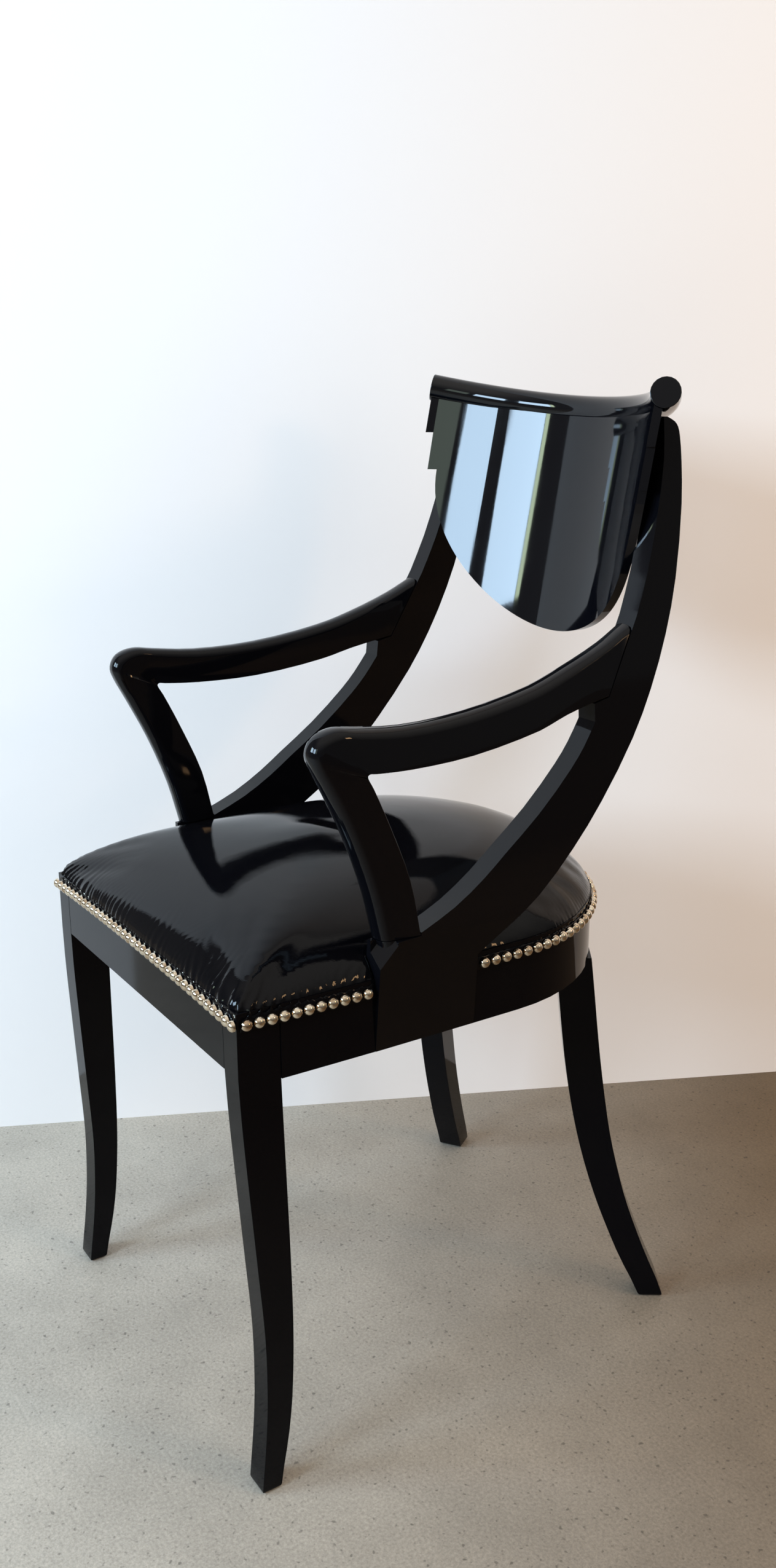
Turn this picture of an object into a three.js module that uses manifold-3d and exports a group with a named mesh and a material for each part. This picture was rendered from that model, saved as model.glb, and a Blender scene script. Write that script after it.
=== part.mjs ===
// Klismos armchair in black lacquer, with a tightly covered crowned seat.
// Millimetres, Z up. The chair faces -Y and stands on z = 0, centred on the origin.
// A place called y is measured back from the front of the seat frame.
import * as THREE from "three";
import Module from "manifold-3d";

const wasm = await Module();
wasm.setup();
const { Manifold } = wasm;

// Clearances
const jointGap = 0.3;
const seatingGap = 0.3;
const coverGap = 0.9;

// Seat frame, seen from above: straight sides that swell a little, then a rounded back
const seatFrontHalf = 199;
const seatSwell = 3;
const seatWidestY = 211;
const backCentreY = 282;
const backSwell = 2.6;
const backDeep = 188.8;
const railThick = 25;
const frontRailBottom = 397;
const sideRailBottom = 388.5;
const frameTop = 455.5;

// Feet: every leg's sole has rounded edges
const soleRound = 4;
const soleSteps = 3;

// Front legs: heights are shares of the free height, depths are shares of the leg's depth at the rail
const frontLegWide = 24.8;
const frontLegDeep = 39;
const frontLegSplay = 16.3;
const frontLegShares = [
  { up: 0, front: 0.036, rear: 0.513 },
  { up: 0.055, front: 0.103, rear: 0.615 },
  { up: 0.126, front: 0.192, rear: 0.769 },
  { up: 0.227, front: 0.277, rear: 0.91 },
  { up: 0.378, front: 0.308, rear: 1.005 },
  { up: 0.554, front: 0.218, rear: 1.026 },
  { up: 0.756, front: 0.103, rear: 1.015 },
  { up: 0.894, front: 0.031, rear: 1.005 },
  { up: 1, front: 0, rear: 1 },
];
const frontLegSteps = 24;

// Rear legs, turned outward in plan and swept back; sweep is a share of the reach, deep of the depth
const rearLegTurnDegrees = 55.5;
const rearLegIn = 70.4;
const rearLegBack = 102.85;
const rearLegWide = 28;
const rearLegRail = 70;
const rearLegReach = 101;
const rearLegDeep = 36;
const rearLegShares = [
  { up: 0, sweep: 1, deep: 0.7 },
  { up: 0.06, sweep: 0.896, deep: 0.758 },
  { up: 0.12, sweep: 0.78, deep: 0.8 },
  { up: 0.201, sweep: 0.649, deep: 0.825 },
  { up: 0.301, sweep: 0.502, deep: 0.858 },
  { up: 0.402, sweep: 0.378, deep: 0.906 },
  { up: 0.502, sweep: 0.277, deep: 0.944 },
  { up: 0.602, sweep: 0.198, deep: 0.983 },
  { up: 0.703, sweep: 0.135, deep: 1 },
  { up: 0.803, sweep: 0.087, deep: 1 },
  { up: 0.903, sweep: 0.046, deep: 0.994 },
  { up: 1, sweep: 0.01, deep: 0.972 },
];
const rearLegSteps = 22;

// Side frames: stile, arm and arm post share one thickness and stand on a block beside the rail.
// Their outlines are shares of the side frame's run, front to back, and of its rise over the block.
const sideThick = 22.8;
const sideRun = 480.4;
const sideRise = 418;
const blockFront = 129;
const blockRear = 232;
const blockTop = 488;
const blockLap = 12;
const apexY = 170.8;
const railOut = 3;
const blockOut = 10;
const stileTurnIn = 45.6;
const stileBow = 1.15;
const stileLowShares = [
  [0.356, 0.007], [0.429, 0.043], [0.495, 0.089], [0.545, 0.132],
  [0.625, 0.201], [0.702, 0.282], [0.735, 0.325], [0.764, 0.373],
];
const stileHeelShares = [[0.765, 0.413], [0.801, 0.422]];
const stileHighShares = [[0.874, 0.586], [0.905, 0.677], [0.934, 0.794], [0.956, 0.914], [0.959, 1]];
const stileRearShares = [
  [0.525, -0.046], [0.62, 0.025], [0.703, 0.11], [0.774, 0.199], [0.856, 0.325], [0.905, 0.426],
  [0.947, 0.542], [0.976, 0.659], [0.997, 0.816], [1, 0.906], [0.998, 0.958], [0.994, 0.979],
  [0.986, 0.99], [0.968, 1],
];
const outlineSteps = 2;

// Arms: a crown line on the top and front, paired with a line along the underside and the post's back
const armRound = 8.5;
const armRoundSteps = 3;
const armTurnIn = 4.5;
const armOut = 5.1;
const armRefY = 234;
const armRefZ = 507;
const armToe = 0.079;
const armLean = 0.01;
const armJoinShare = 0.625;
const armSteps = 3;
const armShares = [
  { top: [0.863, 0.568], under: [0.8, 0.423] },
  { top: [0.806, 0.535], under: [0.754, 0.414] },
  { top: [0.71, 0.494], under: [0.695, 0.4] },
  { top: [0.625, 0.466], under: [0.625, 0.379] },
  { top: [0.468, 0.439], under: [0.468, 0.355] },
  { top: [0.329, 0.435], under: [0.333, 0.353] },
  { top: [0.233, 0.447], under: [0.258, 0.359] },
  { top: [0.202, 0.452], under: [0.246, 0.361] },
  { top: [0.179, 0.449], under: [0.243, 0.36] },
  { top: [0.159, 0.439], under: [0.242, 0.359] },
  { top: [0.148, 0.423], under: [0.241, 0.358] },
  { top: [0.144, 0.404], under: [0.241, 0.356] },
  { top: [0.149, 0.383], under: [0.242, 0.352] },
  { top: [0.176, 0.321], under: [0.253, 0.33] },
  { top: [0.216, 0.225], under: [0.291, 0.237] },
  { top: [0.256, 0.103], under: [0.331, 0.124] },
  { top: [0.279, 0], under: [0.355, 0] },
];

// Sloping stop on the block's front corner, round the foot of the arm post
const stopFoot = 465.5;
const stopWide = 17.6;
const stopDeep = 9.7;
const stopRiseWide = 12.1;
const stopRiseDeep = 10.1;

// Crest rail: a round rod bent to an arc that dips towards its middle
const crestIn = 18.4;
const crestRadius = 245.8;
const crestRod = 13.8;
const crestSetIn = 35.3;
const crestUp = 21.4;
const crestDrop = 21;
const crestSteps = 32;
const crestSides = 20;

// Back panel: part of a leaning cylinder with stepped shoulders over a half oval
const panelThick = 8;
const panelSet = 8.1;
const panelLean = 0.2;
const panelSteps = 30;
const shoulderOuterIn = 7.2;
const shoulderMiddleIn = 13;
const ovalIn = 20.6;
const shoulderUpperUnder = 46.4;
const shoulderLowerUnder = 84.9;
const ovalDeep = 153.5;
const panelTopIn = 6;

// Seat cover: an upright skirt, then a crown that rises steeply from its edge and flattens
const coverThick = 1.3;
const coverBottom = 439.4;
const coverSpare = 9;
const coverCorner = 7;
const skirtTop = 457;
const crownRise = 63.5;
const crownRun = 168;
const crownFlatPower = 1.8;
const crownEdgePower = 0.63;
const crownSteps = 9;
const coverBow = 4;
const coverBackRise = 2.5;
const seatCentreY = 236;
const boardThick = 9;
const seatSteps = 7;
const frontSteps = 10;
const cornerSteps = 4;

// Nails
const nailRadius = 5.15;
const nailHigh = 2.8;
const nailUp = 5.6;
const nailBand = 2.4;
const nailBandThick = 0.5;
const nailSides = 6;
const frontNails = 37;
const sideNails = 11;
const backNails = 59;

// Blocks, screws and dowels hidden in the frame
const cornerBlockDrop = 53.5;
const cornerBlockRun = 54;
const rearBlockIn = 40;
const rearBlockHalf = 52;
const screwShank = 2;
const screwHead = 4;
const screwHeadHigh = 2.4;
const frontScrewLong = 46;
const rearScrewLong = 58;
const stileScrewLong = 22;
const screwSides = 8;
const wedgeScrewShare = 0.6;
const lowScrewDrop = 42.5;
const highScrewDrop = 20.5;
const stileScrewDrop = 33.5;
const stileScrewInset = 22;
const dowelRadius = 4;
const dowelLong = 30;

// Middle of the chair, front to back, that is put over the origin
const chairMiddleY = 266;
const reach = 2000;

const rearLegTurn = THREE.MathUtils.degToRad(rearLegTurnDegrees);

const lacquer = { color: 0x0b0b0d, metalness: 0, roughness: 0.08 };
const beech = { color: 0xb58a5c, metalness: 0, roughness: 0.7 };
const plywood = { color: 0xa98354, metalness: 0, roughness: 0.75 };
const leather = { color: 0x101013, metalness: 0, roughness: 0.22 };
const nickel = { color: 0xc9c4b8, metalness: 1, roughness: 0.2 };
const steel = { color: 0x8d9094, metalness: 1, roughness: 0.4 };

const chair = new THREE.Group();
chair.name = "klismos_chair";

// Closed body from rings of points that all hold the same number of points
function loft(rings) {
  const count = rings[0].length;
  const points = rings.flat();
  const faces = [];
  for (let i = 0; i + 1 < rings.length; i += 1) {
    for (let j = 0; j < count; j += 1) {
      const a = i * count + j;
      const b = i * count + ((j + 1) % count);
      faces.push([a, b, b + count], [a, b + count, a + count]);
    }
  }
  capRing(rings[0], faces, 0, true);
  capRing(rings[rings.length - 1], faces, (rings.length - 1) * count, false);
  return solid(points, faces);
}

function capRing(ring, faces, first, reverse) {
  const origin = new THREE.Vector3(...ring[0]);
  const normal = new THREE.Vector3();
  for (let i = 0; i < ring.length; i += 1) {
    const a = new THREE.Vector3(...ring[i]).sub(origin);
    const b = new THREE.Vector3(...ring[(i + 1) % ring.length]).sub(origin);
    normal.add(a.cross(b));
  }
  normal.normalize();
  const side = new THREE.Vector3(1, 0, 0);
  if (Math.abs(normal.x) > Math.SQRT1_2) side.set(0, 1, 0);
  const across = new THREE.Vector3().crossVectors(normal, side).normalize();
  const along = new THREE.Vector3().crossVectors(across, normal);
  const flat = ring.map((p) => {
    const v = new THREE.Vector3(...p).sub(origin);
    return new THREE.Vector2(v.dot(along), v.dot(across));
  });
  for (const corners of THREE.ShapeUtils.triangulateShape(flat, [])) {
    const face = corners.map((i) => first + i);
    faces.push(reverse ? face.reverse() : face);
  }
}

// Manifold body from points and triangles, turned to face outward
function solid(points, faces) {
  const make = (list) => {
    const mesh = new wasm.Mesh({
      numProp: 3,
      vertProperties: new Float32Array(points.flat()),
      triVerts: new Uint32Array(list.flat()),
    });
    mesh.merge();
    return new Manifold(mesh);
  };
  const body = make(faces);
  return body.volume() > 0 ? body : make(faces.map(([a, b, c]) => [a, c, b]));
}

function prism(outline, low, high) {
  const rings = [low, high].map((z) => outline.map(([x, y]) => [x, y, z]));
  return loft(rings);
}

function box(x0, x1, y0, y1, z0, z1) {
  const corners = [[x0, y0], [x1, y0], [x1, y1], [x0, y1]];
  return prism(corners, z0, z1);
}

// Round bar between two points
function bar(from, to, radius, sides) {
  const a = new THREE.Vector3(...from);
  const b = new THREE.Vector3(...to);
  const along = new THREE.Vector3().subVectors(b, a).normalize();
  const side = new THREE.Vector3(0, 0, 1);
  if (Math.abs(along.z) > Math.SQRT1_2) side.set(0, 1, 0);
  const u = new THREE.Vector3().crossVectors(along, side).normalize();
  const v = new THREE.Vector3().crossVectors(along, u);
  return loft([a, b].map((p) => circle(p, u, v, radius, sides)));
}

function circle(centre, u, v, radius, sides) {
  const ring = [];
  for (let i = 0; i < sides; i += 1) {
    const t = (2 * Math.PI * i) / sides;
    const p = centre.clone().addScaledVector(u, radius * Math.cos(t));
    p.addScaledVector(v, radius * Math.sin(t));
    ring.push(p.toArray());
  }
  return ring;
}

function largest(body) {
  return body.decompose().sort((a, b) => b.volume() - a.volume())[0];
}

function mirrored(body) {
  return body.mirror([1, 0, 0]);
}

function add(name, body, look) {
  const mesh = body.translate([0, -chairMiddleY, 0]).getMesh();
  const geometry = new THREE.BufferGeometry();
  const positions = new Float32Array(mesh.numVert * 3);
  for (let i = 0; i < mesh.numVert; i += 1) {
    for (let k = 0; k < 3; k += 1) {
      positions[3 * i + k] = mesh.vertProperties[i * mesh.numProp + k];
    }
  }
  geometry.setAttribute("position", new THREE.BufferAttribute(positions, 3));
  geometry.setIndex(Array.from(mesh.triVerts));
  geometry.computeVertexNormals();
  const node = new THREE.Mesh(geometry, new THREE.MeshStandardMaterial(look));
  node.name = name;
  chair.add(node);
}

function addPair(name, body, look) {
  add(`${name}_right`, body, look);
  add(`${name}_left`, mirrored(body), look);
}

// Smooth line through plan or side places that are pairs of numbers
function smooth(places, steps) {
  const spots = places.map(([a, b]) => new THREE.Vector3(a, b, 0));
  const curve = new THREE.CatmullRomCurve3(spots, false, "centripetal");
  const line = [];
  const count = steps * (places.length - 1);
  for (let i = 0; i <= count; i += 1) {
    const spot = curve.getPoint(i / count);
    line.push([spot.x, spot.y]);
  }
  return line;
}

// Values of a table of shares at a height share, read along smooth curves
function shareAt(table, key, up) {
  let i = 0;
  while (i + 2 < table.length && table[i + 1].up < up) i += 1;
  const at = (k) => table[Math.min(table.length - 1, Math.max(0, k))];
  const span = at(i + 1).up - at(i).up;
  const t = (up - at(i).up) / span;
  const slope = (k) => {
    const run = at(k + 1).up - at(k - 1).up;
    return ((at(k + 1)[key] - at(k - 1)[key]) / run) * span;
  };
  const a = at(i)[key];
  const b = at(i + 1)[key];
  const bend = (a - b) * 2 + slope(i) + slope(i + 1);
  const turn = (b - a) * 3 - 2 * slope(i) - slope(i + 1);
  return a + t * (slope(i) + t * (turn + t * bend));
}

// Half of the seat outline, from the front corner to the middle of the back
function seatHalf(out) {
  const points = [];
  for (let i = 0; i <= seatSteps; i += 1) {
    const y = (backCentreY * i) / seatSteps;
    points.push([seatSide(y) + out, y]);
  }
  const backSteps = 2 * seatSteps;
  for (let i = 1; i <= backSteps; i += 1) {
    const t = (Math.PI * i) / (2 * backSteps);
    const x = (seatFrontHalf + backSwell + out) * Math.cos(t);
    points.push([x, backCentreY + (backDeep + out) * Math.sin(t)]);
  }
  points[0][1] = -out;
  points[points.length - 1][0] = 0;
  return points;
}

// Half width of the seat beside its straight sides
function seatSide(y) {
  const off = (y - seatWidestY) / seatWidestY;
  return seatFrontHalf + seatSwell * (1 - off * off);
}

function seatOutline(out) {
  const half = seatHalf(out);
  const other = half.slice(0, -1).reverse().map(([x, y]) => [-x, y]);
  return [...half, ...other];
}

// Seat outline with its two front corners rounded
function coverOutline(out, radius) {
  const full = seatOutline(out);
  const [x, y] = full[0];
  const corner = [];
  for (let i = 0; i <= cornerSteps; i += 1) {
    const t = (Math.PI * i) / (2 * cornerSteps) - Math.PI / 2;
    corner.push([x - radius + radius * Math.cos(t), y + radius + radius * Math.sin(t)]);
  }
  const far = corner.slice().reverse().map(([cx, cy]) => [-cx, cy]);
  const front = [];
  for (let i = 1; i < frontSteps; i += 1) {
    front.push([(radius - x) * (1 - (2 * i) / frontSteps), y]);
  }
  return [...corner, ...full.slice(1, -1), ...far, ...front];
}

// Places in the plan frame of a rear leg: along its sweep from the rail, and off its outer face
function legPoint(along, off, z) {
  const c = Math.cos(rearLegTurn);
  const s = Math.sin(rearLegTurn);
  const x = seatFrontHalf - rearLegIn + c * along + s * off;
  const y = backCentreY + rearLegBack + s * along - c * off;
  return [x, y, z];
}

function legSlab(front, rear, spare, low, high) {
  const inner = -rearLegWide - spare;
  const corners = [[front, spare], [rear, spare], [rear, inner], [front, inner]];
  return loft([low, high].map((z) => corners.map(([a, b]) => legPoint(a, b, z))));
}

// Heights of a leg's rings up to a top, with the inset that rounds its sole
function legLevels(top, steps) {
  const levels = [];
  for (let i = 0; i < soleSteps; i += 1) {
    const t = (Math.PI * i) / (2 * soleSteps);
    levels.push({ z: soleRound * (1 - Math.cos(t)), inset: soleRound * (1 - Math.sin(t)) });
  }
  for (let i = 0; i <= steps; i += 1) {
    levels.push({ z: soleRound + ((top - soleRound) * i) / steps, inset: 0 });
  }
  return levels;
}

function frontLegRing(z, inset) {
  const up = Math.min(1, z / frontRailBottom);
  const outer = seatFrontHalf + frontLegSplay * (1 - up) - inset;
  const inner = seatFrontHalf + frontLegSplay * (1 - up) - frontLegWide + inset;
  const front = frontLegDeep * shareAt(frontLegShares, "front", up) + inset;
  const rear = frontLegDeep * shareAt(frontLegShares, "rear", up) - inset;
  return [[inner, front, z], [outer, front, z], [outer, rear, z], [inner, rear, z]];
}

function buildFrontLeg() {
  const rings = legLevels(frontRailBottom, frontLegSteps).map(({ z, inset }) => frontLegRing(z, inset));
  rings.push(frontLegRing(frameTop, 0));
  return loft(rings);
}

function rearLegRing(z, inset) {
  const up = Math.min(1, z / sideRailBottom);
  const front = rearLegReach * shareAt(rearLegShares, "sweep", up);
  const rear = front + rearLegDeep * shareAt(rearLegShares, "deep", up) - inset;
  const inner = inset - rearLegWide;
  const corners = [[front + inset, -inset], [rear, -inset], [rear, inner], [front + inset, inner]];
  return corners.map(([a, b]) => legPoint(a, b, z));
}

// The leg widens into a piece of the seat frame that the frame's outline trims
function buildRearLeg() {
  const rings = legLevels(sideRailBottom, rearLegSteps).map(({ z, inset }) => rearLegRing(z, inset));
  rings.push(rearLegRing(frameTop, 0));
  const upper = legSlab(0, rearLegRail, 0, sideRailBottom, frameTop);
  const around = legSlab(-rearLegRail, 2 * rearLegRail, rearLegWide, sideRailBottom, frameTop + railThick);
  const waste = around.subtract(prism(seatOutline(0), 0, frameTop + 2 * railThick));
  return loft(rings).add(upper).subtract(waste);
}

// Places of a side frame's outline, front to back and up, from their shares
function sidePlaces(shares, base) {
  return shares.map(([run, rise]) => [sideRun * run, base + sideRise * rise]);
}

// Outer face of the side frame: out beside the block, then turned in towards the stile's top
function stileOuter(y, z) {
  const low = (z - sideRailBottom) / (blockTop - sideRailBottom);
  const below = Math.min(1, Math.max(0, low));
  const above = Math.max(0, (z - blockTop) / sideRise);
  const out = railOut + (blockOut - railOut) * below - stileTurnIn * above ** stileBow;
  return seatFrontHalf + out + armToe * Math.max(0, apexY - y) * below;
}

// The stile's rear edge from the block up
function stileRearLine() {
  const line = smooth(sidePlaces(stileRearShares, blockTop), outlineSteps);
  const [[y0, z0], [y1, z1]] = line;
  return [[blockRear, z0 - ((y0 - blockRear) * (z1 - z0)) / (y1 - y0)], ...line];
}

// Place along an edge, given from its foot up, at a height
function placeAt(line, z) {
  const i = Math.max(1, line.findIndex((place) => place[1] >= z));
  const [[y0, z0], [y1, z1]] = [line[i - 1], line[i]];
  return y0 + ((z - z0) / (z1 - z0)) * (y1 - y0);
}

// Rearmost place of the side frame at a height
function stileRearAt(z) {
  return Math.max(blockRear, placeAt(stileRearLine(), z));
}

// Level section of the side frame through places from front to back
function sideRing(places, z) {
  const outer = places.map((y) => [stileOuter(y, z), y, z]);
  const inner = outer.map(([x, y]) => [x - sideThick, y, z]);
  return [...outer, ...inner.reverse()];
}

function buildStile() {
  const block = loft([sideRailBottom, blockTop].map((z) => sideRing([blockFront, apexY, blockRear], z)));
  const rear = stileRearLine();
  const front = [
    [apexY, rear[0][1]], [apexY, blockTop],
    ...smooth(sidePlaces(stileLowShares, blockTop), outlineSteps),
    ...sidePlaces(stileHeelShares, blockTop),
    ...smooth(sidePlaces(stileHighShares, blockTop), outlineSteps),
  ];
  const levels = [...new Set([...front, ...rear].map((place) => place[1]))].sort((a, b) => a - b);
  const limb = loft(levels.map((z) => sideRing([placeAt(front, z), placeAt(rear, z)], z)));
  return block.add(limb);
}

// How far along its join with the stile a place on the arm is
function joinShare(y) {
  const from = sideRun * armJoinShare;
  const to = sideRun * armShares[0].under[0];
  return Math.min(1, Math.max(0, (y - from) / (to - from)));
}

// One section of the arm: square at its lower edge, rounded at its upper edge, and turned in upward
function armSection({ top, under }) {
  const long = Math.hypot(under[0] - top[0], under[1] - top[1]);
  const dir = [(under[0] - top[0]) / long, (under[1] - top[1]) / long];
  const inner = [];
  const outer = [];
  for (let i = 0; i <= armRoundSteps; i += 1) {
    const t = (Math.PI * i) / (2 * armRoundSteps);
    outer.push([armRound * (1 - Math.cos(t)), armRound * (1 - Math.sin(t))]);
    inner.push([sideThick - armRound * (1 - Math.sin(t)), armRound * (1 - Math.cos(t))]);
  }
  const section = [[0, long], ...outer, ...inner, [sideThick, long]];
  const toe = armToe * (armRefY - under[0]) + armLean * (under[1] - armRefZ);
  const free = seatFrontHalf + armOut + toe;
  const share = joinShare(under[0]);
  return section.map(([across, down]) => {
    const y = top[0] + dir[0] * down;
    const z = top[1] + dir[1] * down;
    const turned = free - armTurnIn * (1 - down / long);
    return [turned + share * (stileOuter(y, z) - turned) - across, y, z];
  });
}

// Paired places of the arm's two lines, from the stile to the foot of the post
function armStations() {
  const base = blockTop + jointGap;
  const top = smooth(sidePlaces(armShares.map((row) => row.top), base), armSteps);
  const under = smooth(sidePlaces(armShares.map((row) => row.under), base), armSteps);
  return top.map((place, i) => ({ top: place, under: under[i] }));
}

function buildArm() {
  return loft(armStations().map(armSection));
}

// The part of the block's front corner that the sloping stop takes away
function buildStopWaste() {
  const outer = stileOuter(blockFront, blockTop);
  const inner = outer - stopWide;
  const rear = blockFront + stopWide;
  const waste = box(inner, outer + reach, blockFront - reach, rear, stopFoot - stopWide, reach);
  const across = stopRiseWide / stopWide;
  const along = -stopRiseDeep / stopDeep;
  const offset = across * outer + along * blockFront + stopFoot;
  const normal = new THREE.Vector3(across, along, 1);
  const long = normal.length();
  const slope = waste.trimByPlane(normal.toArray().map((v) => v / long), offset / long);
  return slope.subtract(buildPostFoot());
}

// The arm post carried on down into the block
function buildPostFoot() {
  const stations = armStations();
  const last = stations[stations.length - 1];
  const before = stations[stations.length - 2];
  const run = (before.top[0] - last.top[0]) / (before.top[1] - last.top[1]);
  const drop = blockTop - stopFoot;
  const foot = {
    top: [last.top[0] - run * drop, last.top[1] - drop],
    under: [last.under[0], last.under[1] - drop],
  };
  return loft([armSection(last), armSection(foot)]);
}

const crestHalf = seatFrontHalf - crestIn;
const crestEndY = sideRun - crestSetIn;
const crestEndZ = blockTop + sideRise + crestUp;
const crestAngle = Math.asin(crestHalf / crestRadius);
const crestCentreY = crestEndY - Math.sqrt(crestRadius ** 2 - crestHalf ** 2);
const crestSag = crestCentreY + crestRadius - crestEndY;

function arcPoint(radius, angle) {
  return [radius * Math.sin(angle), crestCentreY + radius * Math.cos(angle)];
}

function crestHeight(y) {
  return crestEndZ - (crestDrop * (y - crestEndY)) / crestSag;
}

function crestPoint(angle) {
  const [x, y] = arcPoint(crestRadius, angle);
  return new THREE.Vector3(x, y, crestHeight(y));
}

function buildCrest(radius) {
  const rings = [];
  const nudge = crestAngle / crestSteps;
  for (let i = 0; i <= crestSteps; i += 1) {
    const angle = crestAngle * ((2 * i) / crestSteps - 1);
    const along = crestPoint(angle + nudge).sub(crestPoint(angle - nudge)).normalize();
    const u = new THREE.Vector3().crossVectors(along, new THREE.Vector3(0, 0, 1)).normalize();
    const v = new THREE.Vector3().crossVectors(u, along);
    rings.push(circle(crestPoint(angle), u, v, radius, crestSides));
  }
  return loft(rings);
}

// Distances from the middle, with the height of the panel's lower edge there
function panelStations() {
  const upper = crestEndZ - shoulderUpperUnder;
  const lower = crestEndZ - shoulderLowerUnder;
  const half = [];
  for (let i = 0; i <= panelSteps; i += 1) {
    const t = (Math.PI * i) / (2 * panelSteps);
    half.push({ x: (crestHalf - ovalIn) * Math.sin(t), low: lower - ovalDeep * Math.cos(t) });
  }
  const middle = crestHalf - shoulderMiddleIn;
  half.push({ x: middle - jointGap, low: lower });
  half.push({ x: middle, low: upper });
  half.push({ x: crestHalf - shoulderOuterIn, low: upper });
  const left = half.slice(1).reverse().map(({ x, low }) => ({ x: -x, low }));
  return [...left, ...half];
}

function buildPanel(spare) {
  const middle = crestRadius - panelSet;
  const inner = middle - spare;
  const outer = middle + panelThick + spare;
  const rings = panelStations().map(({ x, low }) => {
    const angle = Math.asin(x / middle);
    const high = crestHeight(arcPoint(crestRadius, angle)[1]) - panelTopIn;
    const at = (radius, z) => {
      const [px, py] = arcPoint(radius, angle);
      return [px, py + panelLean * (z - crestEndZ), z];
    };
    const bottom = low - spare;
    return [at(inner, bottom), at(outer, bottom), at(outer, high), at(inner, high)];
  });
  return loft(rings);
}

// Seat cushion: a crowned body, hollowed below for the frame, with its cover drawn down outside the rails
function buildCushion() {
  const outer = coverOutline(coverThick + seatingGap, coverCorner);
  const ring = (inset, z) => {
    const share = 1 - inset / seatFrontHalf;
    return outer.map(([x, y]) => [x * share, seatCentreY + (y - seatCentreY) * share, z + coverRise(x, y)]);
  };
  const rings = [ring(0, coverBottom)];
  for (let i = 0; i <= crownSteps; i += 1) {
    const share = (i / crownSteps) ** 2;
    const rise = (1 - (1 - share) ** crownFlatPower) ** crownEdgePower;
    rings.push(ring(crownRun * share, skirtTop + crownRise * rise));
  }
  const core = prism(seatOutline(seatingGap), coverBottom - coverSpare, frameTop + seatingGap);
  return loft(rings).subtract(core);
}

// The cover's lower edge and its nails rise a little towards the middle of the front and of the back
function coverRise(x, y) {
  if (y < 0) return coverBow * (1 - (x / seatFrontHalf) ** 2);
  return coverBackRise * (Math.max(0, y - backCentreY) / backDeep) ** 2;
}

// Room that the side frames take out of the cushion
function stileRoom() {
  const front = blockFront - coverGap;
  const low = coverBottom - coverSpare;
  const high = skirtTop + crownRise + coverSpare;
  const lean = stileRearLine().filter(([, z]) => z < high + coverSpare);
  const outline = [
    [front, high], [front, low], [blockRear + coverGap, low],
    ...lean.map(([y, z]) => [y + coverGap, z]),
  ];
  const inner = stileOuter(apexY, coverBottom) - sideThick - coverGap;
  return loft([inner, reach].map((x) => outline.map(([y, z]) => [x, y, z])));
}

// A row of domed nails joined by a narrow band behind their heads
function nailRow(spots) {
  let row = null;
  for (let i = 0; i < spots.length; i += 1) {
    const nail = dome(spots[i]);
    row = row ? row.add(nail) : nail;
  }
  for (let i = 0; i + 1 < spots.length; i += 1) {
    row = row.add(bandPiece(spots[i], spots[i + 1]));
  }
  return row;
}

function dome({ at, face }) {
  const out = new THREE.Vector3(...face);
  const up = new THREE.Vector3(0, 0, 1);
  const side = new THREE.Vector3().crossVectors(up, out);
  const centre = new THREE.Vector3(...at);
  const turns = [0, Math.PI / 4];
  const rings = turns.map((t) => {
    const p = centre.clone().addScaledVector(out, nailHigh * Math.sin(t));
    return circle(p, side, up, nailRadius * Math.cos(t), nailSides);
  });
  return loft(rings);
}

function bandPiece(a, b) {
  const shift = ({ at, face }, lift, z) => [at[0] + face[0] * lift, at[1] + face[1] * lift, at[2] + z];
  const half = nailBand / 2;
  const ring = (spot) => [
    shift(spot, 0, -half), shift(spot, nailBandThick, -half),
    shift(spot, nailBandThick, half), shift(spot, 0, half),
  ];
  return loft([ring(a), ring(b)]);
}

// Even steps along a plan line, with the direction that faces out of the seat
function spread(line, count) {
  const path = new THREE.CurvePath();
  for (let i = 0; i + 1 < line.length; i += 1) {
    const [from, to] = [line[i], line[i + 1]].map((p) => new THREE.Vector2(...p));
    path.add(new THREE.LineCurve(from, to));
  }
  const step = nailRadius / path.getLength();
  const spots = [];
  for (let i = 0; i < count; i += 1) {
    const u = i / (count - 1);
    const p = path.getPoint(u);
    const before = path.getPoint(Math.max(0, u - step));
    const after = path.getPoint(Math.min(1, u + step));
    const along = after.sub(before).normalize();
    const z = coverBottom + nailUp + coverRise(p.x, p.y);
    spots.push({ at: [p.x, p.y, z], face: [along.y, -along.x, 0] });
  }
  return spots;
}

// Screw with its head's face at a point, and the hole for its shank
function screw(at, toward, long) {
  const dir = new THREE.Vector3(...toward).normalize();
  const start = new THREE.Vector3(...at).addScaledVector(dir, -screwHeadHigh - jointGap);
  const head = start.clone().addScaledVector(dir, screwHeadHigh);
  const tip = start.clone().addScaledVector(dir, long);
  const body = bar(start.toArray(), head.toArray(), screwHead, screwSides);
  return body.add(bar(start.toArray(), tip.toArray(), screwShank, screwSides));
}

function screwHole(at, toward, long) {
  const dir = new THREE.Vector3(...toward).normalize();
  const start = new THREE.Vector3(...at).addScaledVector(dir, -screwHeadHigh);
  const tip = start.clone().addScaledVector(dir, long + jointGap);
  return bar(start.toArray(), tip.toArray(), screwShank + jointGap, screwSides);
}

// Dowel lying evenly on both sides of a joint
function dowel(at, toward, spare) {
  const dir = new THREE.Vector3(...toward).normalize();
  const half = dowelLong / 2 + spare;
  const a = new THREE.Vector3(...at).addScaledVector(dir, -half);
  const b = new THREE.Vector3(...at).addScaledVector(dir, half);
  return bar(a.toArray(), b.toArray(), dowelRadius + spare, screwSides);
}

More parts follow.
